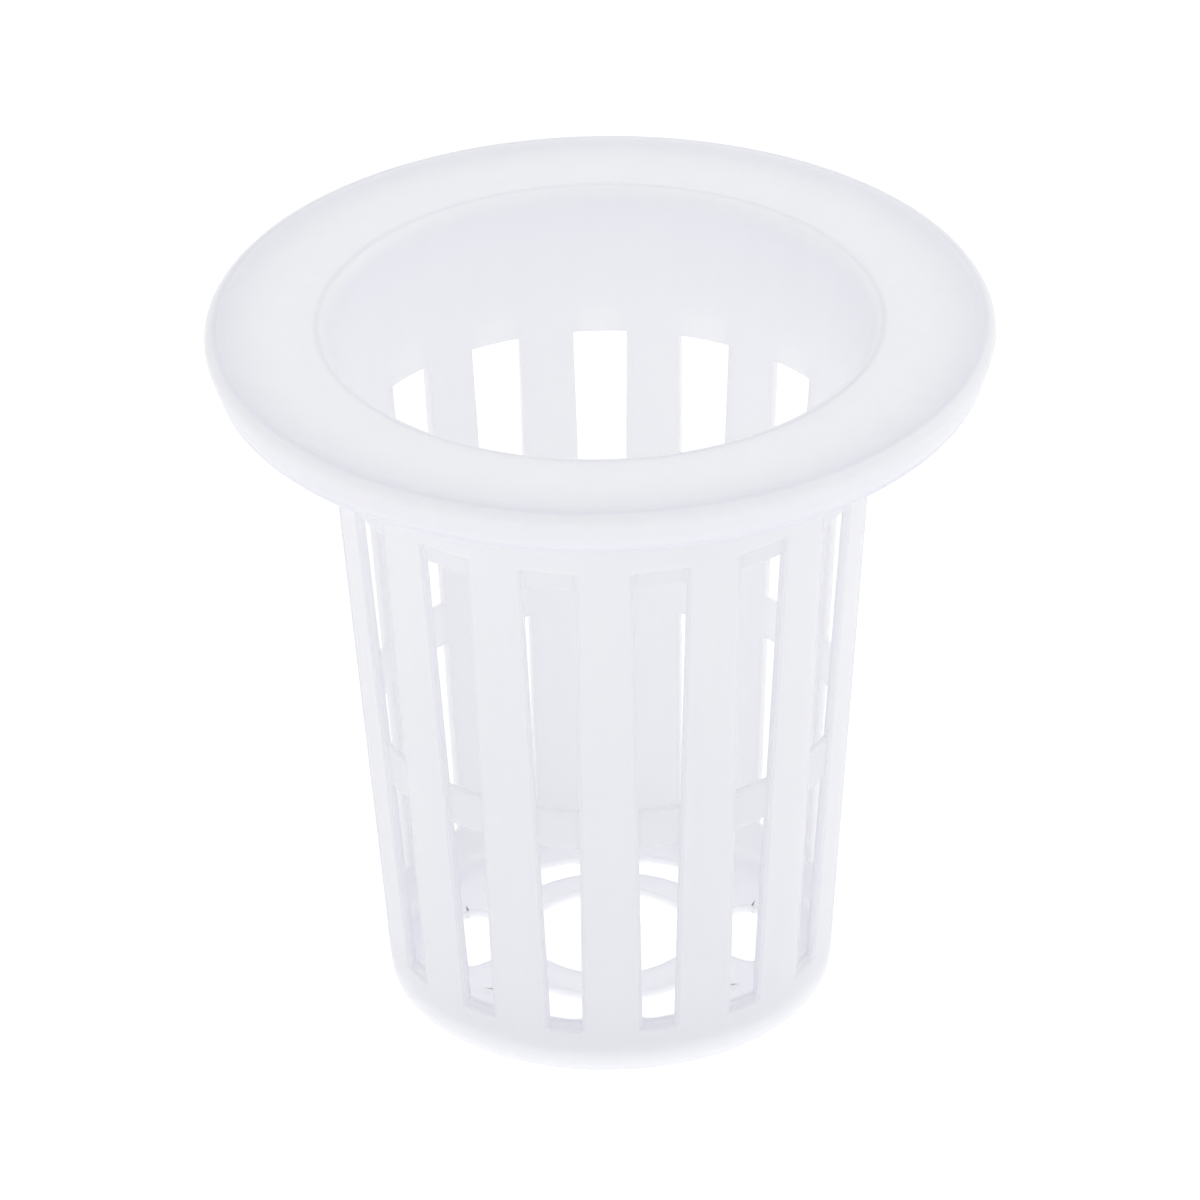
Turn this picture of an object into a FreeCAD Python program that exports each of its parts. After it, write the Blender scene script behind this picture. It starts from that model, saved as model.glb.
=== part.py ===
import FreeCAD, Part
import math
import os

from FreeCAD import Vector

# Net pot for hydroponic growing: one thin polypropylene moulding.
# Millimetres, Z up, origin at the centre of the foot, one rib facing -Y.

# ---------------------------------------------------------------- main sizes
rim_diameter = 65.0          # over the flange
height = 61.6                # foot to the top of the flange
body_diameter_top = 46.4     # outside of the wall, carried up to the flange top
body_diameter_foot = 36.8    # outside of the wall, carried down to the foot
wall = 0.8                   # wall, flange, skirt and base

# ---------------------------------------------------------------- flange
mouth_round = 1.0            # rolled edge from the flange top into the cup
rim_edge_round = 0.95        # upper outer edge of the flange
skirt_depth = 3.8            # flange top to the lower edge of the skirt
skirt_lean = 19.0            # degrees that the skirt leans in towards its lower edge
neck_round = 0.6             # under the flange, where it leaves the wall
skirt_inner_round = 0.4      # inside corner of flange and skirt

# ---------------------------------------------------------------- foot and base
foot_width = 1.8             # thickened ring that the pot stands on
foot_round = 1.2             # outer lower edge of the foot
base_edge_top = 1.75         # upper face of the base grid where it meets the wall
base_rise = 6.0              # degrees that the base grid rises towards its middle
base_round = 0.6             # base to wall, inside the cup

# ---------------------------------------------------------------- slots in the wall
slot_count = 15
slot_width_top = 5.0         # between the sides of a slot, carried up to the flange top
slot_width_foot = 2.65       # and carried down to the foot
lower_slot = (5.1, 22.8)     # heights of the lower row of openings
upper_slot = (26.5, 48.6)    # heights of the upper row of openings
channel_depth = 0.3          # outer channel that joins the two openings
channel_over = 1.5           # channel runs out above the upper opening
channel_under = 0.6          # and just below the lower opening
channel_run = 0.25           # slope at the two ends of the channel

# ---------------------------------------------------------------- base grid
spoke_count = 6
spoke_width = 3.5
hub_inner_radius = 7.0       # open centre of the base
hub_width = 2.7              # ring round the open centre
window_outer_radius = 13.4   # outer edge of the six windows
window_round = 1.4           # their corners

# ---------------------------------------------------------------- making
edge_flat_count = 4          # a rounded edge is turned as this many narrow cones
corner_flat_count = 2        # and an inside corner as this many
over_cut = 3.0               # how far a cutter runs past the faces it opens

# ---------------------------------------------------------------- derived
rim_r = rim_diameter / 2
foot_r = body_diameter_foot / 2
taper = (body_diameter_top - body_diameter_foot) / 2 / height
pitch = 360.0 / slot_count
skirt_z = height - skirt_depth
flange_under = height - wall
hub_outer_radius = hub_inner_radius + hub_width
AXIS = Vector(0, 0, 1)


def outer_r(z):
    """Radius of the outer face of the tapering wall at height z."""
    return foot_r + taper * z


def inner_r(z):
    """Radius of the inner face of the wall at height z."""
    return outer_r(z) - wall


def base_z(r):
    """Height of the upper face of the base grid at radius r."""
    return base_edge_top + (inner_r(base_edge_top) - r) * math.tan(math.radians(base_rise))


def base_under_z(r):
    """Height of the underside of the base grid at radius r."""
    return base_z(r) - wall / math.cos(math.radians(base_rise))


def slot_width(z):
    """Distance between the two sides of a slot at height z."""
    return slot_width_foot + (slot_width_top - slot_width_foot) * z / height


def rounded(points):
    """Section outline with its corners rounded, from (r, z, radius, flats)."""
    outline = []
    for i, (r, z, radius, flats) in enumerate(points):
        corner = Vector(r, 0, z)
        if not radius:
            outline.append(corner)
            continue
        before, after = points[i - 1], points[(i + 1) % len(points)]
        a = (Vector(before[0], 0, before[1]) - corner).normalize()
        b = (Vector(after[0], 0, after[1]) - corner).normalize()
        half = a.getAngle(b) / 2
        centre = corner + (a + b).normalize() * (radius / math.sin(half))
        start = corner + a * (radius / math.tan(half)) - centre
        swing = math.pi - 2 * half
        side = (corner - centre).normalize()
        turn = (side - start.normalize() * math.cos(swing / 2)).normalize()
        along = start.normalize()
        for k in range(flats + 1):
            t = swing * k / flats
            outline.append(centre + (along * math.cos(t) + turn * math.sin(t)) * radius)
    return outline


def revolved(outline, angle=360.0):
    """Solid turned about the Z axis from an outline in the XZ plane."""
    face = Part.Face(Part.makePolygon(outline + outline[:1]))
    return face.revolve(Vector(0, 0, 0), AXIS, angle)


def shell():
    """Cup, foot, plain base and flange, all turned as one section."""
    lean = math.radians(skirt_lean)
    # the corner that, once rounded, leaves the flange exactly rim_diameter wide
    rim_corner_r = rim_r + rim_edge_round * (math.tan(lean) + 1 / math.cos(lean) - 1)
    skirt_low_r = rim_corner_r - skirt_depth * math.tan(lean)
    skirt_wall = wall / math.cos(lean)
    skirt_in_r = rim_corner_r - wall * math.tan(lean) - skirt_wall
    foot_in_r = foot_r - foot_width
    return revolved(rounded([
        (0.0, base_under_z(0.0), 0, 0),
        (foot_in_r, base_under_z(foot_in_r), 0, 0),
        (foot_in_r, 0.0, 0, 0),
        (foot_r, 0.0, foot_round, edge_flat_count),
        (outer_r(flange_under), flange_under, neck_round, corner_flat_count),
        (skirt_in_r, flange_under, skirt_inner_round, corner_flat_count),
        (skirt_low_r - skirt_wall, skirt_z, 0, 0),
        (skirt_low_r, skirt_z, 0, 0),
        (rim_corner_r, height, rim_edge_round, edge_flat_count),
        (inner_r(height), height, mouth_round, edge_flat_count),
        (inner_r(base_edge_top), base_edge_top, base_round, corner_flat_count),
        (0.0, base_z(0.0), 0, 0),
    ]))


def slot_cutter():
    """One outer channel with its two openings through the wall, on +X."""

    def past(z):
        return Vector(outer_r(z) + over_cut, 0, z)

    def surface(z):
        return Vector(outer_r(z), 0, z)

    def floor(z):
        return Vector(outer_r(z) - channel_depth, 0, z)

    def inside(z):
        return Vector(outer_r(z) - over_cut, 0, z)

    low, high = lower_slot[0] - channel_under, upper_slot[1] + channel_over
    outline = [past(low - channel_run), surface(low - channel_run), floor(low)]
    for bottom, top in (lower_slot, upper_slot):
        outline += [floor(bottom), inside(bottom), inside(top), floor(top)]
    outline += [floor(high), surface(high + channel_run), past(high + channel_run)]
    cutter = revolved(outline, pitch)
    cutter.rotate(Vector(0, 0, 0), AXIS, -pitch / 2)
    # both sides are flat, and the slot widens towards the top
    reach, foot_side, top_side = rim_r - over_cut, slot_width(0.0) / 2, slot_width(height) / 2
    sides = [Vector(over_cut, -foot_side, 0.0), Vector(over_cut, foot_side, 0.0),
             Vector(over_cut, top_side, height), Vector(over_cut, -top_side, height)]
    between = Part.Face(Part.makePolygon(sides + sides[:1])).extrude(Vector(reach, 0, 0))
    return cutter.common(between)


def base_plug(radius):
    """Round cutter that reaches through the base."""
    low = Vector(0, 0, -over_cut)
    return Part.makeCylinder(radius, base_z(0.0) + over_cut - low.z, low)


def window_cutter():
    """One window of the base grid, centred on +X, sides parallel to its spokes."""
    half = math.radians(180.0 / spoke_count)
    ring = base_plug(window_outer_radius).cut(base_plug(hub_outer_radius))
    # a wedge between the facing sides of two neighbouring spokes
    tip = Vector(spoke_width / 2 / math.sin(half), 0, -over_cut)
    corner = window_outer_radius / math.cos(half)
    side = (corner - tip.x) * math.tan(half)
    loop = [tip, Vector(corner, -side, tip.z), Vector(corner, side, tip.z)]
    wedge = Part.Face(Part.makePolygon(loop + loop[:1]))
    wedge = wedge.extrude(Vector(0, 0, base_z(0.0) + over_cut - tip.z))
    window = ring.common(wedge)
    upright = [e for e in window.Edges if abs(e.tangentAt(e.FirstParameter).z) > 0.99]
    return window.makeFillet(window_round, upright)


def around(cutter, count):
    """Copies of a cutter spaced evenly about Z, the first half a step past -Y."""
    copies = []
    for i in range(count):
        one = cutter.copy()
        one.rotate(Vector(0, 0, 0), AXIS, -90.0 + 360.0 * (i + 0.5) / count)
        copies.append(one)
    return copies


def net_pot():
    """The whole moulding: a rib and, under it, a spoke of the base face -Y."""
    pot = shell().cut(around(slot_cutter(), slot_count))
    return pot.cut([base_plug(hub_inner_radius)] + around(window_cutter(), spoke_count))


pot = net_pot()
if len(pot.Solids) != 1 or not pot.isValid():
    raise ValueError("the net pot must be one valid solid")

os.makedirs("parts", exist_ok=True)
pot.Solids[0].exportStep("parts/net_pot.step")
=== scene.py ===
"""Looks of the hydroponic net pot: one thin, milky polypropylene moulding in a white studio.

Sizes are millimetres and angles degrees; meshes are scaled to metres when they
are made. Z is up, the pot stands on z = 0 and its axis is the Z axis.
"""

from __future__ import annotations

import logging
import math
from dataclasses import dataclass, field
from enum import Enum

import bmesh
import bpy
import numpy as np
from mathutils import Matrix, Vector

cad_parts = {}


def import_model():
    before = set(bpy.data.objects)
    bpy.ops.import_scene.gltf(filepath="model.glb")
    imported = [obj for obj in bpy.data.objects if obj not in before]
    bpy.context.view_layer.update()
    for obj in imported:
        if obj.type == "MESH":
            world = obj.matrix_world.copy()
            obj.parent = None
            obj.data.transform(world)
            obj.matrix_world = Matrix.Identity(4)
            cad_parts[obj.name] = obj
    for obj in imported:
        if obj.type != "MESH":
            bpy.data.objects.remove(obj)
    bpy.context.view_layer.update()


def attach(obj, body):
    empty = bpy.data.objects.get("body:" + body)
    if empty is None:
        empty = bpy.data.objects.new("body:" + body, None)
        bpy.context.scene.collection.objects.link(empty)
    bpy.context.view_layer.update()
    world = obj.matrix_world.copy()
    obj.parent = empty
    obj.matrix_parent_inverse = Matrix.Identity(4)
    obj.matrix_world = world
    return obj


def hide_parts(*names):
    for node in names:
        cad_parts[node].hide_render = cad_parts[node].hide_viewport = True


LOG = logging.getLogger("net_pot")
MM = 0.001


class Skin(Enum):
    """Stretches of the moulding's skin, in the order that its section runs through them."""

    BASE_UNDER = 0
    FOOT = 1
    WALL_OUT = 2
    FLANGE_UNDER = 3
    SKIRT_IN = 4
    SKIRT_EDGE = 5
    SKIRT_OUT = 6
    FLANGE_TOP = 7
    WALL_IN = 8
    BASE_TOP = 9


class Along(Enum):
    """The coordinate that the rows of a straight stretch are spaced by."""

    RADIUS = 0
    HEIGHT = 1


# ------------------------------------------------------------------ shared geometry
def unit(v: np.ndarray) -> np.ndarray:
    """A vector scaled to length one."""
    return v / np.linalg.norm(v)


def smoothstep(x: np.ndarray) -> np.ndarray:
    """The cubic 3x^2 - 2x^3 of x held between 0 and 1."""
    x = np.clip(x, 0.0, 1.0)
    return x * x * (3.0 - 2.0 * x)


def fillet(before: np.ndarray, corner: np.ndarray, after: np.ndarray,
           rounding: float, steps: int) -> np.ndarray:
    """Points of the arc that rounds a corner.

    Formula: the centre lies on the bisector, rounding / sin(half angle) from the
    corner, and each point is centre + rounding * (start cos t + turn sin t),
    with t from 0 to 180 degrees less the corner's angle.

    Args:
        before: a point on the line that comes into the corner.
        corner: the sharp corner.
        after: a point on the line that leaves it.
        rounding: radius of the arc; 0 leaves the corner sharp.
        steps: number of chords along the arc.

    Returns:
        Array of (steps + 1, 2) points, or the corner alone.
    """
    if rounding <= 0.0:
        return corner[None, :]
    come, go = unit(before - corner), unit(after - corner)
    half = 0.5 * math.acos(float(np.clip(come @ go, -1.0, 1.0)))
    centre = corner + unit(come + go) * rounding / math.sin(half)
    start = unit(corner + come * rounding / math.tan(half) - centre)
    swing = math.pi - 2.0 * half
    turn = unit(unit(corner - centre) - start * math.cos(swing / 2.0))
    t = np.linspace(0.0, swing, steps + 1)[:, None]
    return centre + rounding * (np.cos(t) * start + np.sin(t) * turn)


@dataclass(frozen=True)
class Corner:
    """A corner of the section, its rounding and the straight stretch that follows it."""

    radius: float
    height: float
    skin: Skin
    rounding: float = 0.0
    steps: int = 0
    along: Along = Along.RADIUS
    stations: tuple[float, ...] = ()

    @property
    def point(self) -> np.ndarray:
        """The corner as (radius, height)."""
        return np.array([self.radius, self.height])


@dataclass
class Section:
    """Closed outline that is turned about the axis: each point is a row of the grid."""

    points: np.ndarray
    skins: np.ndarray

    @classmethod
    def from_corners(cls, corners: list[Corner]) -> Section:
        """Joins rounded corners with straight stretches that carry their own rows.

        Formula: a stretch runs from the end of one arc to the start of the next,
        and each of its rows is the point of that line at the station's value.

        Args:
            corners: the corners in order round the closed outline.

        Returns:
            The section, with one skin number per point.
        """
        count = len(corners)
        arcs = []
        for i, c in enumerate(corners):
            after = corners[(i + 1) % count]
            arcs.append(fillet(corners[i - 1].point, c.point, after.point, c.rounding, c.steps))
        points, skins = [], []
        for i, c in enumerate(corners):
            start, end = arcs[i][-1], arcs[(i + 1) % count][0]
            axis = c.along.value
            span = end[axis] - start[axis]
            rows = np.zeros((0, 2))
            if c.stations and abs(span) > 1e-9:
                share = (np.array(c.stations) - start[axis]) / span
                share = np.sort(share[(share > 1e-6) & (share < 1 - 1e-6)])[:, None]
                rows = start + share * (end - start)
            block = np.vstack([arcs[i], rows])
            points.append(block)
            skins.append(np.full(len(block), c.skin.value))
        return cls(np.vstack(points), np.concatenate(skins))

    @property
    def radius(self) -> np.ndarray:
        """Distance of each row from the axis."""
        return self.points[:, 0]

    @property
    def height(self) -> np.ndarray:
        """Height of each row."""
        return self.points[:, 1]

    def rows(self, skin: Skin, along: Along, low: float, high: float) -> np.ndarray:
        """Rows of one skin from low to high, in rising order of that coordinate.

        Args:
            skin: the stretch to look in.
            along: whether low and high are radii or heights.
            low: the least value.
            high: the greatest value.

        Returns:
            Row numbers.
        """
        value = self.points[:, along.value]
        near = (value > low - 1e-6) & (value < high + 1e-6)
        found = np.flatnonzero((self.skins == skin.value) & near)
        return found[np.argsort(value[found])]


# ------------------------------------------------------------------ parts of the moulding
@dataclass(frozen=True)
class CupWall:
    """Tapering wall of the cup: the cone that every other part starts from."""

    height: float = 61.6
    diameter_top: float = 46.4
    diameter_foot: float = 36.8
    thickness: float = 0.8

    def outer(self, z: float | np.ndarray) -> float | np.ndarray:
        """Outer radius: a straight line from the foot's radius to the top's."""
        slope = (self.diameter_top - self.diameter_foot) / 2.0 / self.height
        return self.diameter_foot / 2.0 + slope * z

    def inner(self, z: float | np.ndarray) -> float | np.ndarray:
        """Inner radius: the outer one less the wall."""
        return self.outer(z) - self.thickness


@dataclass(frozen=True)
class Flange:
    """Flat rim with its hanging skirt."""

    wall: CupWall
    diameter: float = 65.0
    mouth_round: float = 1.0
    edge_round: float = 0.95
    skirt_depth: float = 3.8
    skirt_lean: float = 19.0
    neck_round: float = 0.6
    inner_round: float = 0.4

    def corners(self, wall_stations: tuple[float, ...]) -> list[Corner]:
        """Corners of the section from the neck, round the rim, to the mouth.

        Formula: the skirt's outer line leans in by the lean angle from the corner
        that, once rounded, leaves the rim exactly its own diameter wide.

        Args:
            wall_stations: heights of the rows down the inside of the cup.

        Returns:
            Six corners in order.
        """
        lean = math.radians(self.skirt_lean)
        top, thick = self.wall.height, self.wall.thickness
        under = top - thick
        corner = self.diameter / 2.0 + self.edge_round * (math.tan(lean) + 1.0 / math.cos(lean) - 1.0)
        low = corner - self.skirt_depth * math.tan(lean)
        across = thick / math.cos(lean)
        inside = corner - thick * math.tan(lean) - across
        mouth = self.wall.inner(top) + self.mouth_round
        rim = corner - self.edge_round
        flat = np.arange(mouth + 1.2, rim - 1.0, 1.2)
        ring = (mouth + 0.2, mouth + 0.45, *flat, rim - 0.55, rim - 0.25)
        drop = tuple(np.linspace(top - self.skirt_depth, under, 5)[1:-1])
        return [
            Corner(self.wall.outer(under), under, Skin.FLANGE_UNDER, self.neck_round, 4,
                   Along.RADIUS, ring),
            Corner(inside, under, Skin.SKIRT_IN, self.inner_round, 3, Along.HEIGHT, drop),
            Corner(low - across, top - self.skirt_depth, Skin.SKIRT_EDGE),
            Corner(low, top - self.skirt_depth, Skin.SKIRT_OUT, along=Along.HEIGHT, stations=drop),
            Corner(corner, top, Skin.FLANGE_TOP, self.edge_round, 8, Along.RADIUS, ring),
            Corner(self.wall.inner(top), top, Skin.WALL_IN, self.mouth_round, 8,
                   Along.HEIGHT, wall_stations),
        ]


@dataclass(frozen=True)
class SlottedWall:
    """Fifteen outer channels, each with a lower and an upper opening through the wall."""

    wall: CupWall
    count: int = 15
    width_top: float = 5.0
    width_foot: float = 2.65
    lower: tuple[float, float] = (5.1, 22.8)
    upper: tuple[float, float] = (26.5, 48.6)
    channel_depth: float = 0.3
    channel_over: float = 1.5
    channel_under: float = 0.6
    channel_run: float = 0.25
    rib_steps: int = 12
    slot_steps: int = 10

    @property
    def pitch(self) -> float:
        """Degrees from one slot to the next."""
        return 360.0 / self.count

    @property
    def columns(self) -> int:
        """Columns of the grid round the whole pot."""
        return self.count * (self.rib_steps + self.slot_steps)

    @property
    def floor(self) -> tuple[float, float]:
        """Heights between which the channel has its full depth."""
        return self.lower[0] - self.channel_under, self.upper[1] + self.channel_over

    @property
    def stations(self) -> tuple[float, ...]:
        """Heights of the wall's rows: every edge of the openings and channels, and between."""
        low, high = self.floor
        spans = [
            np.linspace(0.0, low - self.channel_run, 4), [low], np.linspace(*self.lower, 6),
            np.linspace(self.lower[1], self.upper[0], 4), np.linspace(*self.upper, 8), [high],
            np.linspace(high + self.channel_run, 61.0, 7),
        ]
        return tuple(np.unique(np.round(np.concatenate(spans), 6)))

    def half_angle(self, radius: np.ndarray, height: np.ndarray) -> np.ndarray:
        """Angle from the middle of a slot to its side, in degrees.

        Formula: asin(half the slot's width / radius), so that each side is a flat
        face; the width runs straight from its size at the foot to its size at the top.

        Args:
            radius: distances from the axis.
            height: heights of the same points.

        Returns:
            One angle per point.
        """
        width = self.width_foot + (self.width_top - self.width_foot) * height / self.wall.height
        return np.degrees(np.arcsin(width / 2.0 / radius))

    def column_angles(self, radius: np.ndarray, height: np.ndarray) -> np.ndarray:
        """Angle of each column on each row, from a rib's middle, in degrees.

        Formula: within a pitch the columns are spaced evenly over half a rib,
        then over the slot, then over half a rib.

        Args:
            radius: radius of each row.
            height: height of each row.

        Returns:
            Array of (rows, columns), rising along each row.
        """
        near_wall = np.clip(radius, self.wall.inner(0.0), self.wall.outer(height))
        slot = self.half_angle(near_wall, height)[:, None]
        rib = self.pitch / 2.0 - slot
        half = self.rib_steps // 2
        step = np.arange(half)[None, :] / half
        local = np.hstack([
            rib * step,
            rib + 2.0 * slot * np.arange(self.slot_steps)[None, :] / self.slot_steps,
            self.pitch - rib * (1.0 - step),
        ])
        starts = np.arange(self.count) * self.pitch
        return (starts[None, :, None] + local[:, None, :]).reshape(len(radius), self.columns)

    def slot_columns(self) -> np.ndarray:
        """Columns of each slot, both edges among them, as a (count, slot_steps + 1) array."""
        first = np.arange(self.count) * (self.rib_steps + self.slot_steps) + self.rib_steps // 2
        return first[:, None] + np.arange(self.slot_steps + 1)


@dataclass(frozen=True)
class BaseGrid:
    """Open hub ring, six spokes and six windows with rounded corners, on a foot ring."""

    wall: CupWall
    spokes: int = 6
    spoke_width: float = 3.5
    hub_inner: float = 7.0
    hub_width: float = 2.7
    window_outer: float = 13.4
    window_round: float = 1.4
    foot_width: float = 1.8
    foot_round: float = 1.2
    edge_top: float = 1.75
    rise: float = 6.0
    edge_round: float = 0.6
    spoke_steps: int = 6

    @property
    def hub_outer(self) -> float:
        """Outer radius of the hub ring."""
        return self.hub_inner + self.hub_width

    @property
    def stations(self) -> tuple[float, ...]:
        """Radii of the base's rows, closer together at the corners of the windows."""
        bend = (1.0 - np.cos(np.linspace(0.0, math.pi, 13))) / 2.0
        window = self.hub_outer + bend * (self.window_outer - self.hub_outer)
        hub = np.linspace(self.hub_inner, self.hub_outer, 4)
        ring = np.linspace(self.window_outer, self.foot_inner, 5)
        return tuple(np.unique(np.round(np.concatenate([hub, window, ring]), 6)))

    @property
    def foot_inner(self) -> float:
        """Radius of the inner side of the foot ring."""
        return self.wall.diameter_foot / 2.0 - self.foot_width

    def top(self, radius: float | np.ndarray) -> float | np.ndarray:
        """Height of the upper face, which rises evenly from the wall to the open centre."""
        away = self.wall.inner(self.edge_top) - radius
        return self.edge_top + away * math.tan(math.radians(self.rise))

    def under_corners(self, wall_stations: tuple[float, ...]) -> list[Corner]:
        """Corners of the section along the underside and the foot, up to the wall.

        Args:
            wall_stations: heights of the rows up the outside of the cup.

        Returns:
            Four corners in order.
        """
        foot, inside = self.wall.diameter_foot / 2.0, self.foot_inner
        thick = self.wall.thickness / math.cos(math.radians(self.rise))
        return [
            Corner(self.hub_inner, self.top(self.hub_inner) - thick, Skin.BASE_UNDER,
                   stations=self.stations),
            Corner(inside, self.top(inside) - thick, Skin.FOOT, along=Along.HEIGHT,
                   stations=(0.7, 0.35)),
            Corner(inside, 0.0, Skin.FOOT, stations=(inside + 0.3,)),
            Corner(foot, 0.0, Skin.WALL_OUT, self.foot_round, 7, Along.HEIGHT, wall_stations),
        ]

    def top_corners(self) -> list[Corner]:
        """Corners of the section from the cup's inner wall to the hub's open centre.

        Returns:
            Two corners in order.
        """
        return [
            Corner(self.wall.inner(self.edge_top), self.edge_top, Skin.BASE_TOP, self.edge_round, 4,
                   stations=self.stations),
            Corner(self.hub_inner, self.top(self.hub_inner), Skin.BASE_TOP),
        ]

    def column_angles(self, radius: np.ndarray, columns: int) -> np.ndarray:
        """Angle of each column on rows that cross the spokes, in degrees.

        Formula: half a spoke takes asin(half its width / radius), so its sides stay
        parallel, and the window takes what is left of the sixty degrees.

        Args:
            radius: radius of each row.
            columns: columns round the whole pot.

        Returns:
            Array of (rows, columns) rising angles.
        """
        sector, per = 360.0 / self.spokes, columns // self.spokes
        r = np.clip(radius, self.hub_outer, self.window_outer)[:, None]
        half = np.degrees(np.arcsin(self.spoke_width / 2.0 / r))
        k, n = np.arange(per)[None, :], self.spoke_steps
        spoke = half * k / n
        window = half + (sector - 2.0 * half) * (k - n) / (per - 2 * n)
        last = sector - half * (per - k) / n
        local = np.where(k < n, spoke, np.where(k <= per - n, window, last))
        starts = np.arange(self.spokes) * sector
        return (starts[None, :, None] + local[:, None, :]).reshape(len(radius), columns)

    def window_columns(self, columns: int) -> np.ndarray:
        """Columns of each window, both edges among them, as a (spokes, n) array."""
        per = columns // self.spokes
        first = np.arange(self.spokes) * per + self.spoke_steps
        return first[:, None] + np.arange(per - 2 * self.spoke_steps + 1)

    def round_outline(self, xy: np.ndarray, middle: np.ndarray) -> np.ndarray:
        """Moves the sharp outline of each window onto its rounded corners.

        Formula: with u along the window's middle and v across it, a corner's arc is
        centred a rounding away from the spoke's side and from the ring, and a point
        between the two places where it touches them moves straight towards that
        centre until it is one rounding away.

        Args:
            xy: (n, 2) points on the outlines.
            middle: angle of the middle of each point's window, in radians.

        Returns:
            The moved points.
        """
        c, s = np.cos(middle), np.sin(middle)
        u, v = xy[:, 0] * c + xy[:, 1] * s, xy[:, 1] * c - xy[:, 0] * s
        hand = np.where(v < 0.0, -1.0, 1.0)
        v = np.abs(v)
        rise = math.pi / self.spokes
        axis = np.array([math.cos(rise), math.sin(rise)])
        normal = np.array([axis[1], -axis[0]])
        radius, turn, reach = np.hypot(u, v), np.arctan2(v, u), u * axis[0] + v * axis[1]
        away = self.spoke_width / 2.0 + self.window_round
        for ring, sign in ((self.window_outer, 1.0), (self.hub_outer, -1.0)):
            along = math.sqrt((ring - sign * self.window_round) ** 2 - away**2)
            centre = along * axis + away * normal
            on_ring = (np.abs(radius - ring) < 1e-6) & (turn > math.atan2(centre[1], centre[0]))
            on_side = np.abs(u * normal[0] + v * normal[1] - self.spoke_width / 2.0) < 1e-6
            near = on_ring | (on_side & (sign * (reach - along) > 0.0))
            du, dv = u - centre[0], v - centre[1]
            pull = self.window_round / np.maximum(np.hypot(du, dv), 1e-9)
            u = np.where(near, centre[0] + du * pull, u)
            v = np.where(near, centre[1] + dv * pull, v)
        v = v * hand
        return np.stack([u * c - v * s, u * s + v * c], axis=1)


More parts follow.
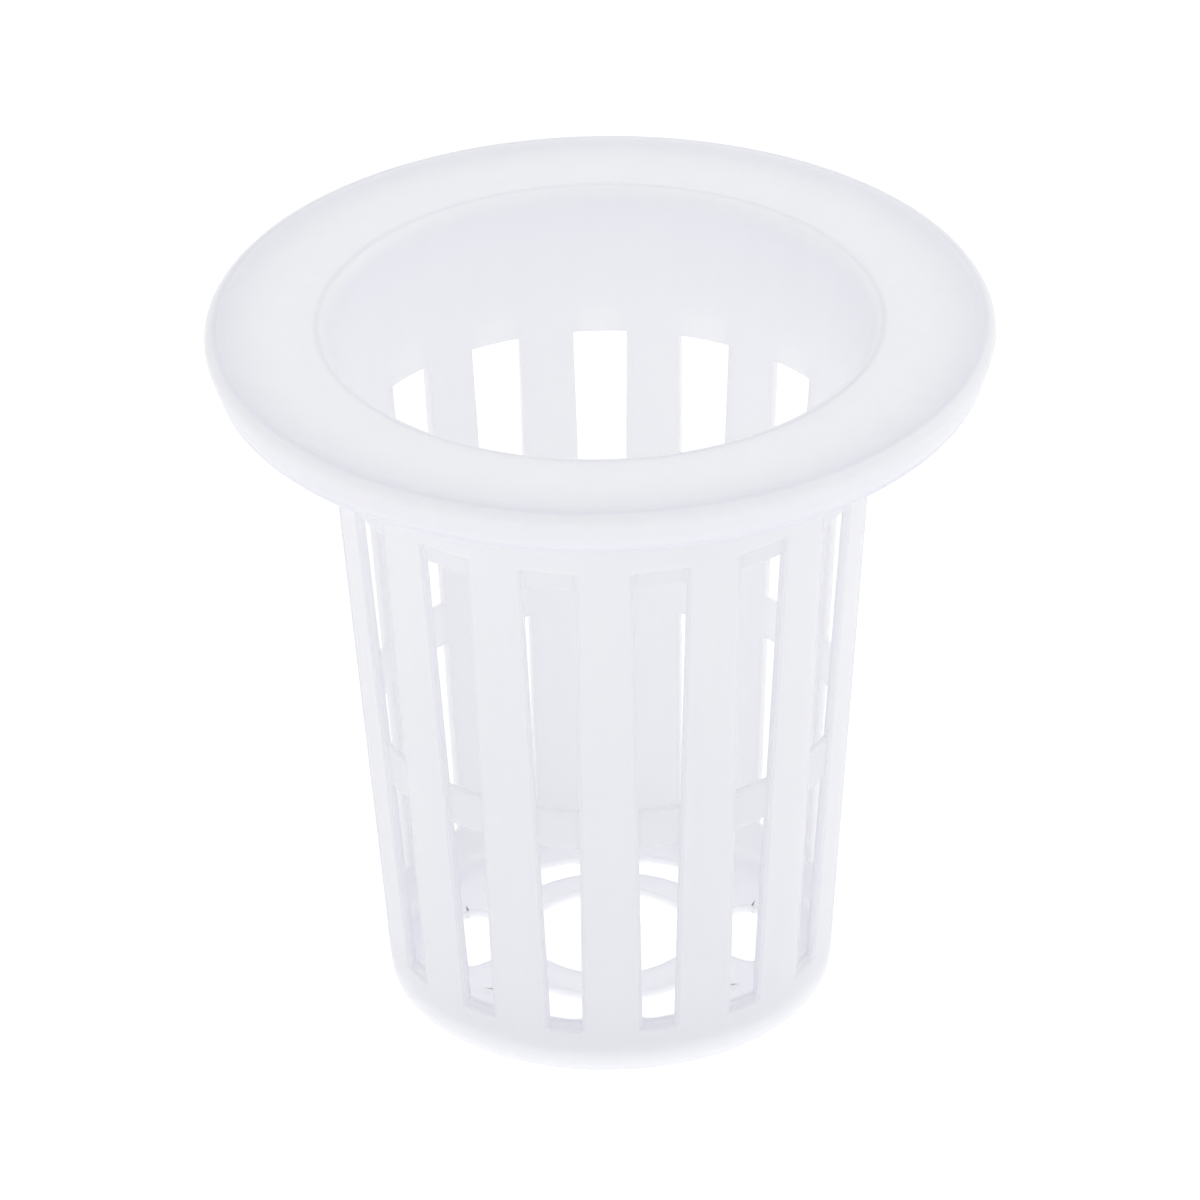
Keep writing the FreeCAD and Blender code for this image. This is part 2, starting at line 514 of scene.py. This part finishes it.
# ------------------------------------------------------------------ finish
@dataclass(frozen=True)
class MilkyPolypropylene:
    """Natural polypropylene: translucent, faintly blue, half matt, with moulding flow in it."""

    name: str = "milky_polypropylene"
    milk: tuple[float, float, float] = (0.885, 0.890, 0.970)
    streak: tuple[float, float, float] = (0.868, 0.874, 0.958)
    # Painted shade: darker colour laid on edges where light is lost along the wall.
    edge_shade: tuple[float, float, float] = (0.45, 0.46, 0.56)
    roughness: tuple[float, float] = (0.36, 0.46)
    scatter: float = 1.0
    scatter_depth: float = 6.0
    refraction: float = 1.49
    grain: float = 0.35
    grain_height: float = 0.012

    def material(self) -> bpy.types.Material:
        """Builds the node material.

        The colour runs from milk to streak with long vertical flow marks, and towards
        the darker edge colour, painted shade, where the piece's per-point attribute of
        painted shade says that light is lost along the wall. Fine moulding grain goes to
        the bump, and a slower pattern moves the roughness between its two ends.

        Returns:
            The material.
        """
        mat = bpy.data.materials.new(self.name)
        mat.use_nodes = True
        nodes, links = mat.node_tree.nodes, mat.node_tree.links
        nodes.clear()
        out = nodes.new("ShaderNodeOutputMaterial")
        skin = nodes.new("ShaderNodeBsdfPrincipled")
        skin.inputs["IOR"].default_value = self.refraction
        skin.inputs["Subsurface Weight"].default_value = self.scatter
        skin.inputs["Subsurface Radius"].default_value = (1.0, 1.0, 1.0)
        skin.inputs["Subsurface Scale"].default_value = self.scatter_depth * MM
        links.new(skin.outputs["BSDF"], out.inputs["Surface"])

        where = nodes.new("ShaderNodeTexCoord")
        stretch = nodes.new("ShaderNodeMapping")
        stretch.inputs["Scale"].default_value = (1.0, 1.0, 0.12)
        links.new(where.outputs["Object"], stretch.inputs["Vector"])
        flow = self._noise(nodes, links, stretch.outputs["Vector"], 260.0, 3.0)
        cloud = self._noise(nodes, links, where.outputs["Object"], 90.0, 2.0)
        grain = self._noise(nodes, links, where.outputs["Object"], 1.0 / (self.grain * MM), 2.0)

        tone = nodes.new("ShaderNodeMix")
        tone.data_type = "RGBA"
        tone.inputs["A"].default_value = (*self.milk, 1.0)
        tone.inputs["B"].default_value = (*self.streak, 1.0)
        links.new(self._ramp(nodes, links, flow, 0.35, 0.65, 0.0, 1.0), tone.inputs["Factor"])
        # Painted shade: mixes the darker edge colour in by the painted shade attribute.
        painted_shade = nodes.new("ShaderNodeMix")
        painted_shade.data_type = "RGBA"
        painted_shade.inputs["B"].default_value = (*self.edge_shade, 1.0)
        links.new(tone.outputs["Result"], painted_shade.inputs["A"])
        edge_shade = nodes.new("ShaderNodeAttribute")
        edge_shade.attribute_name = "painted_edge_shade"
        links.new(edge_shade.outputs["Fac"], painted_shade.inputs["Factor"])
        links.new(painted_shade.outputs["Result"], skin.inputs["Base Color"])

        rough = self._ramp(nodes, links, cloud, 0.3, 0.7, *self.roughness)
        links.new(rough, skin.inputs["Roughness"])

        bump = nodes.new("ShaderNodeBump")
        bump.inputs["Strength"].default_value = 0.35
        bump.inputs["Distance"].default_value = self.grain_height * MM
        links.new(grain, bump.inputs["Height"])
        links.new(bump.outputs["Normal"], skin.inputs["Normal"])
        return mat

    @staticmethod
    def _noise(nodes: bpy.types.Nodes, links: bpy.types.NodeLinks, vector: bpy.types.NodeSocket,
               scale: float, detail: float) -> bpy.types.NodeSocket:
        """Adds a fractal noise.

        Args:
            nodes: the material's nodes.
            links: the material's links.
            vector: where the pattern is read.
            scale: cycles per metre.
            detail: number of finer octaves.

        Returns:
            The socket of its value.
        """
        noise = nodes.new("ShaderNodeTexNoise")
        noise.inputs["Scale"].default_value = scale
        noise.inputs["Detail"].default_value = detail
        links.new(vector, noise.inputs["Vector"])
        return noise.outputs["Fac"]

    @staticmethod
    def _ramp(nodes: bpy.types.Nodes, links: bpy.types.NodeLinks, value: bpy.types.NodeSocket,
              low: float, high: float, to_low: float, to_high: float) -> bpy.types.NodeSocket:
        """Carries a value from one range to another and holds it there.

        Args:
            nodes: the material's nodes.
            links: the material's links.
            value: the socket to read.
            low: least value that is read.
            high: greatest value that is read.
            to_low: what the least becomes.
            to_high: what the greatest becomes.

        Returns:
            The socket of the result.
        """
        span = nodes.new("ShaderNodeMapRange")
        ends = {"From Min": low, "From Max": high, "To Min": to_low, "To Max": to_high}
        for name, number in ends.items():
            span.inputs[name].default_value = number
        links.new(value, span.inputs["Value"])
        return span.outputs["Result"]


@dataclass(frozen=True)
class LightTable:
    """Plain white table top that glows, so that it stays white round the pot."""

    name: str = "white_table"
    white: float = 0.35
    glow: float = 0.78

    def material(self) -> bpy.types.Material:
        """Builds the table's material: matt and pale, with a glow of its own.

        Returns:
            The material.
        """
        mat = bpy.data.materials.new(self.name)
        mat.use_nodes = True
        skin = mat.node_tree.nodes["Principled BSDF"]
        skin.inputs["Base Color"].default_value = (self.white, self.white, self.white, 1.0)
        skin.inputs["Roughness"].default_value = 0.8
        skin.inputs["Specular IOR Level"].default_value = 0.1
        skin.inputs["Emission Color"].default_value = (1.0, 1.0, 1.0, 1.0)
        skin.inputs["Emission Strength"].default_value = self.glow
        return mat


# ------------------------------------------------------------------ the pot
@dataclass(frozen=True)
class PaintedShadeLines:
    """Painted shade lines, darker colour where light is lost along the wall: (strength, distance that
    it fades over).
    """

    # Each is painted shade: the skirt's lower edge, the mouth, the rim, the foot, the slots' and
    # channels' sides, and a strip above the upper openings.
    skirt: tuple[float, float] = (1.0, 0.4)
    mouth: tuple[float, float] = (0.42, 0.4)
    rim: tuple[float, float] = (0.40, 0.45)
    foot: tuple[float, float] = (0.25, 0.5)
    foot_height: float = 0.3
    line_shift: float = 0.1
    slot_sides: tuple[float, float] = (0.50, 0.28)
    channel_sides: float = 0.10
    strip: float = 0.06

    @staticmethod
    def fade(line: tuple[float, float], away: np.ndarray) -> np.ndarray:
        """Strength of a line at a distance from its middle."""
        return line[0] * (1.0 - smoothstep(away / line[1]))


@dataclass
class NetPot:
    """The whole moulding: one closed skin over a grid of section rows and columns round the axis."""

    wall: CupWall = field(default_factory=CupWall)
    finish: MilkyPolypropylene = field(default_factory=MilkyPolypropylene)
    lines: PaintedShadeLines = field(default_factory=PaintedShadeLines)
    edge_break: float = 0.12
    front: float = -90.0

    def __post_init__(self) -> None:
        """Turns the section and lays out the grid that every method works on."""
        self.flange = Flange(self.wall)
        self.slots = SlottedWall(self.wall)
        self.base = BaseGrid(self.wall)
        stations = self.slots.stations
        under, rim = self.base.under_corners(stations), self.flange.corners(stations)
        self.section = Section.from_corners(under + rim + self.base.top_corners())
        self.rows, self.columns = len(self.section.radius), self.slots.columns
        self.index = np.arange(self.rows * self.columns).reshape(self.rows, self.columns)

    def angles(self) -> np.ndarray:
        """Angle of every grid point, in radians.

        Formula: on the wall and flange the columns follow ribs and slots, on the base
        they follow spokes and windows, and between the windows and the foot ring
        they pass smoothly from one to the other.

        Returns:
            Array of (rows, columns).
        """
        radius = self.section.radius
        flat = np.isin(self.section.skins, (Skin.BASE_UNDER.value, Skin.BASE_TOP.value))
        outer, inner = self.base.foot_inner, self.base.window_outer
        share = np.where(flat, smoothstep((radius - inner) / (outer - inner)), 1.0)[:, None]
        on_wall = self.slots.column_angles(radius, self.section.height)
        on_base = self.base.column_angles(radius, self.columns)
        return np.radians(self.front + share * on_wall + (1.0 - share) * on_base)

    def positions(self) -> np.ndarray:
        """Place of every grid point, with channels sunk and window corners rounded.

        Formula: (r cos a, r sin a, z), where r and z come from the section. In a slot
        the outer wall's radius is less by the channel's depth. A corner point of a
        window that moves along the base keeps to its slope.

        Returns:
            Array of (rows, columns, 3), in millimetres.
        """
        angle = self.angles()
        radius = np.repeat(self.section.radius[:, None], self.columns, axis=1)
        height = np.repeat(self.section.height[:, None], self.columns, axis=1)
        slot = self.slots.slot_columns()
        floor = self.section.rows(Skin.WALL_OUT, Along.HEIGHT, *self.slots.floor)
        radius[floor[:, None, None], slot[:, 1:-1]] -= self.slots.channel_depth
        place = np.stack([radius * np.cos(angle), radius * np.sin(angle), height], axis=2)

        windows = self.base.window_columns(self.columns)
        turns = (np.arange(self.base.spokes) + 0.5) / self.base.spokes
        middle = np.radians(self.front + 360.0 * turns)
        for rows in self.window_rows():
            border = np.zeros((len(rows), windows.shape[1]), bool)
            border[[0, -1], :] = border[:, [0, -1]] = True
            i, k = np.nonzero(border)
            row, col = np.repeat(rows[i], len(windows)), windows[:, k].T.ravel()
            moved = self.base.round_outline(place[row, col, :2], np.tile(middle, len(i)))
            inwards = np.hypot(*place[row, col, :2].T) - np.hypot(*moved.T)
            place[row, col, :2] = moved
            place[row, col, 2] += inwards * math.tan(math.radians(self.base.rise))
        return place

    def window_rows(self) -> tuple[np.ndarray, np.ndarray]:
        """Rows that cross the windows on the base's underside and on its top."""
        span = (self.base.hub_outer, self.base.window_outer)
        return (self.section.rows(Skin.BASE_UNDER, Along.RADIUS, *span),
                self.section.rows(Skin.BASE_TOP, Along.RADIUS, *span))

    def channel_edges(self, place: np.ndarray) -> tuple[np.ndarray, np.ndarray, np.ndarray]:
        """Second set of points along both sides of every channel, at the channel's depth.

        Formula: each is the grid's point carried inwards by the depth within the flat
        side of its slot.

        Args:
            place: the grid's points.

        Returns:
            The channel's rows, the points as (rows, slots, 2, 3), and their index numbers.
        """
        rows = self.section.rows(Skin.WALL_OUT, Along.HEIGHT, *self.slots.floor)
        sides = self.slots.slot_columns()[:, [0, -1]]
        sunk = place[rows[:, None, None], sides]
        radius = self.section.radius[rows] - self.slots.channel_depth
        half = np.radians(self.slots.half_angle(radius, self.section.height[rows]))[:, None, None]
        middle = np.radians(self.front + (np.arange(self.slots.count) + 0.5) * self.slots.pitch)
        angle = middle[None, :, None] + half * np.array([-1.0, 1.0])
        sunk[..., 0] = radius[:, None, None] * np.cos(angle)
        sunk[..., 1] = radius[:, None, None] * np.sin(angle)
        number = np.arange(len(rows) * sides.size).reshape(len(rows), *sides.shape)
        return rows, sunk, self.index.size + number

    def faces(self, channel_rows: np.ndarray, sunk: np.ndarray) -> tuple[np.ndarray, np.ndarray]:
        """Faces of the skin: the grid less its openings, their side faces and the channels' sides.

        Args:
            channel_rows: rows at the channel's full depth.
            sunk: index numbers of the second points along the channels' sides.

        Returns:
            Quads as (n, 4) and triangles as (m, 3) index numbers.
        """
        slot, windows = self.slots.slot_columns(), self.base.window_columns(self.columns)
        from_left, from_right = self.index.copy(), self.index.copy()
        from_left[channel_rows[:, None], slot[:, 0]] = sunk[:, :, 0]
        from_right[channel_rows[:, None], slot[:, -1]] = sunk[:, :, 1]

        keep = np.ones((self.rows, self.columns), bool)
        holes = []
        for span in (self.slots.lower, self.slots.upper):
            out = self.section.rows(Skin.WALL_OUT, Along.HEIGHT, *span)
            back = self.section.rows(Skin.WALL_IN, Along.HEIGHT, *span)
            rim = self.index[out[:, None, None], slot]
            rim[:, :, 0] = from_left[out[:, None], slot[:, 0]]
            rim[:, :, -1] = from_right[out[:, None], slot[:, -1]]
            holes.append(self._sides(rim, self.index[back[:, None, None], slot]))
            keep[out[:-1, None, None], slot[:, :-1]] = False
            keep[back[1:, None, None], slot[:, :-1]] = False
        under, top = self.window_rows()
        holes.append(self._sides(self.index[under[:, None, None], windows],
                                 self.index[top[:, None, None], windows]))
        keep[under[:-1, None, None], windows[:, :-1]] = False
        keep[top[1:, None, None], windows[:, :-1]] = False

        next_row = np.roll(np.arange(self.rows), -1)
        next_col = np.roll(np.arange(self.columns), -1)
        grid = np.stack([from_left, from_right[:, next_col],
                         from_right[next_row][:, next_col], from_left[next_row]], axis=2)[keep]

        walls, tips = [], []
        for side, col in ((0, slot[:, 0]), (1, slot[:, -1])):
            rib = self.index[channel_rows[:, None], col]
            deep = sunk[:, :, side]
            strip = np.stack([rib[:-1], rib[1:], deep[1:], deep[:-1]], axis=2)
            walls.append(strip.reshape(-1, 4))
            below = self.index[channel_rows[0] - 1, col]
            above = self.index[channel_rows[-1] + 1, col]
            tips.append(np.stack([below, rib[0], deep[0]], axis=1))
            tips.append(np.stack([above, deep[-1], rib[-1]], axis=1))
        return np.vstack([grid, *holes, *walls]), np.vstack(tips)

    @staticmethod
    def _sides(near: np.ndarray, far: np.ndarray) -> np.ndarray:
        """Side faces of openings: each step along the border of one skin joined to the other skin.

        Args:
            near: (rows, openings, columns) index numbers on one skin.
            far: the same on the other skin.

        Returns:
            Quads as (n, 4) index numbers.
        """
        def loop(grid: np.ndarray) -> np.ndarray:
            """Border of each opening as a closed ring of index numbers."""
            ring = [grid[0, :, :-1], grid[:-1, :, -1].T, grid[-1, :, :0:-1], grid[:0:-1, :, 0].T]
            return np.concatenate(ring, axis=1)

        a, b = loop(near), loop(far)
        a2, b2 = np.roll(a, -1, axis=1), np.roll(b, -1, axis=1)
        return np.stack([a, a2, b2, b], axis=2).reshape(-1, 4)

    def painted_edge_shade(self, count: int, sunk: np.ndarray) -> np.ndarray:
        """How much painted shade each point takes, from 0 to 1.

        Formula: each painted shade line, at edges where light runs along the wall, has its own
        strength, fading over its own distance to nothing.

        Args:
            count: number of points in all.
            sunk: index numbers of the second points along the channels' sides.

        Returns:
            One number per point.
        """
        r, z, skin = self.section.radius, self.section.height, self.section.skins
        top, flange, lines = self.wall.height, self.flange, self.lines
        skirt = np.isin(skin, (Skin.SKIRT_EDGE.value, Skin.SKIRT_OUT.value, Skin.SKIRT_IN.value))
        in_mouth = (skin == Skin.WALL_IN.value) & (z > top - flange.mouth_round)
        upper = (skin == Skin.FLANGE_TOP.value) | in_mouth
        outside = skin == Skin.WALL_OUT.value
        mouth = self.wall.inner(top) + flange.mouth_round - lines.line_shift
        rim = flange.diameter / 2.0 - flange.edge_round + lines.line_shift
        row = np.max([
            np.where(skirt, lines.fade(lines.skirt, z - (top - flange.skirt_depth)), 0.0),
            np.where(upper, lines.fade(lines.mouth, np.abs(r - mouth)), 0.0),
            np.where(upper, lines.fade(lines.rim, np.abs(r - rim)), 0.0),
            np.where(outside, lines.fade(lines.foot, z - lines.foot_height), 0.0),
        ], axis=0)
        grid = np.repeat(row[:, None], self.columns, axis=1)
        slot, bottom, end = self.slots.slot_columns(), *self.slots.floor
        channel = self.section.rows(Skin.WALL_OUT, Along.HEIGHT, bottom, end)
        strip = self.section.rows(Skin.WALL_OUT, Along.HEIGHT, self.slots.upper[1], end)
        # Painted shade along the slots' sides and on a strip above the upper openings.
        grid[channel[:, None, None], slot[:, [0, -1]]] = lines.slot_sides
        grid[strip[:, None, None], slot[:, 1:-1]] = lines.strip
        painted_shade = np.zeros(count)
        painted_shade[: self.index.size] = grid.ravel()
        painted_shade[sunk] = lines.channel_sides
        return painted_shade

    def build(self) -> bpy.types.Object:
        """Makes the mesh, gives it its finish and puts it in the place of the CAD node.

        Returns:
            The finished object.
        """
        place = self.positions()
        channel_rows, extra, sunk = self.channel_edges(place)
        quads, tips = self.faces(channel_rows, sunk)
        points = np.vstack([place.reshape(-1, 3), extra.reshape(-1, 3)])
        painted_shade = self.painted_edge_shade(len(points), sunk)

        used = np.unique(np.concatenate([quads.ravel(), tips.ravel()]))
        renumber = np.full(len(points), -1)
        renumber[used] = np.arange(len(used))
        mesh = bpy.data.meshes.new("net_pot_moulding")
        faces = renumber[quads].tolist() + renumber[tips].tolist()
        mesh.from_pydata((points[used] * MM).tolist(), [], faces)
        # Painted shade: each point's strength of the darker edge colour, read by the material.
        edge_shade = mesh.attributes.new("painted_edge_shade", "FLOAT", "POINT")
        edge_shade.data.foreach_set("value", painted_shade[used].astype(np.float32))
        self._face_outwards(mesh)
        mesh.shade_smooth()
        mesh.materials.append(self.finish.material())

        pot = bpy.data.objects.new("net_pot_moulding", mesh)
        bpy.context.scene.collection.objects.link(pot)
        broken = pot.modifiers.new("edge_break", "BEVEL")
        broken.width = self.edge_break * MM
        broken.segments = 2
        broken.limit_method = "ANGLE"
        broken.angle_limit = math.radians(32.0)
        broken.harden_normals = True
        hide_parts("net_pot")
        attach(pot, "root")
        return pot

    @staticmethod
    def _face_outwards(mesh: bpy.types.Mesh) -> None:
        """Turns every face of the closed skin outwards.

        Args:
            mesh: the skin, in metres.
        """
        shell = bmesh.new()
        shell.from_mesh(mesh)
        bmesh.ops.recalc_face_normals(shell, faces=shell.faces)
        open_edges = sum(not e.is_manifold for e in shell.edges)
        LOG.info("open edges %d, volume %.0f mm3", open_edges, shell.calc_volume() / MM**3)
        shell.to_mesh(mesh)
        shell.free()


# ------------------------------------------------------------------ studio
@dataclass(frozen=True)
class SoftBox:
    """A square soft light that looks at a point."""

    name: str
    place: tuple[float, float, float]
    side: float
    power: float
    colour: tuple[float, float, float] = (1.0, 1.0, 1.0)

    def build(self, target: Vector) -> None:
        """Adds the lamp, turned towards the target.

        Args:
            target: the point that it looks at.
        """
        lamp = bpy.data.lights.new(self.name, "AREA")
        lamp.shape = "SQUARE"
        lamp.size = self.side
        lamp.energy = self.power
        lamp.color = self.colour
        lit = bpy.data.objects.new(self.name, lamp)
        lit.location = self.place
        lit.rotation_euler = (target - lit.location).to_track_quat("-Z", "Y").to_euler()
        bpy.context.scene.collection.objects.link(lit)


@dataclass
class Studio:
    """White table, even white room, a soft light from the right and the camera."""

    table: LightTable = field(default_factory=LightTable)
    room: float = 0.80
    room_tint: tuple[float, float, float] = (0.985, 0.99, 1.0)
    lamps: tuple[SoftBox, ...] = (
        SoftBox("right_box", (1.10, 0.50, 0.80), 0.9, 1.5),
    )
    elevation: float = 30.3
    roll: float = -1.03
    distance: float = 1.122
    lens: float = 405.5
    target: tuple[float, float, float] = (-0.0004, 0.0, 0.0350)

    def build_table(self) -> None:
        """Lays a wide flat grid just under the foot, as stage."""
        side = np.linspace(-3.0, 3.0, 13)
        x, y = np.meshgrid(side, side, indexing="ij")
        points = np.stack([x, y, np.full_like(x, -0.05 * MM)], axis=2).reshape(-1, 3)
        index = np.arange(x.size).reshape(x.shape)
        quads = np.stack([index[:-1, :-1], index[1:, :-1], index[1:, 1:], index[:-1, 1:]], axis=2)
        mesh = bpy.data.meshes.new("white_table")
        mesh.from_pydata(points.tolist(), [], quads.reshape(-1, 4).tolist())
        mesh.materials.append(self.table.material())
        top = bpy.data.objects.new("white_table", mesh)
        bpy.context.scene.collection.objects.link(top)

    def build_light(self) -> None:
        """Fills the room with even light and adds the soft boxes."""
        world = bpy.data.worlds.new("white_room")
        world.use_nodes = True
        back = world.node_tree.nodes["Background"]
        back.inputs["Color"].default_value = (*self.room_tint, 1.0)
        back.inputs["Strength"].default_value = self.room
        bpy.context.scene.world = world
        for lamp in self.lamps:
            lamp.build(Vector(self.target))
        bpy.context.scene.view_settings.view_transform = "Standard"

    def build_camera(self) -> None:
        """Sets the camera in front of the pot, looking down on it, with its slight roll."""
        data = bpy.data.cameras.new("camera")
        data.sensor_width = 36.0
        data.lens = self.lens
        data.clip_end = 20.0
        camera = bpy.data.objects.new("camera", data)
        rise, target = math.radians(self.elevation), Vector(self.target)
        camera.location = target + self.distance * Vector((0.0, -math.cos(rise), math.sin(rise)))
        look = (target - camera.location).to_track_quat("-Z", "Y").to_matrix()
        camera.rotation_euler = (look @ Matrix.Rotation(math.radians(self.roll), 3, "Z")).to_euler()
        bpy.context.scene.collection.objects.link(camera)
        bpy.context.scene.camera = camera

    def build(self) -> None:
        """Builds table, light and camera."""
        self.build_table()
        self.build_light()
        self.build_camera()


def main() -> None:
    logging.basicConfig(level=logging.INFO, format="%(name)s: %(message)s")
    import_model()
    pot = NetPot().build()
    LOG.info("%s: %d faces before its edges are broken", pot.name, len(pot.data.polygons))
    Studio().build()
    LOG.info("studio: table, light and camera")
    bpy.context.view_layer.update()


if __name__ == "__main__":
    main()
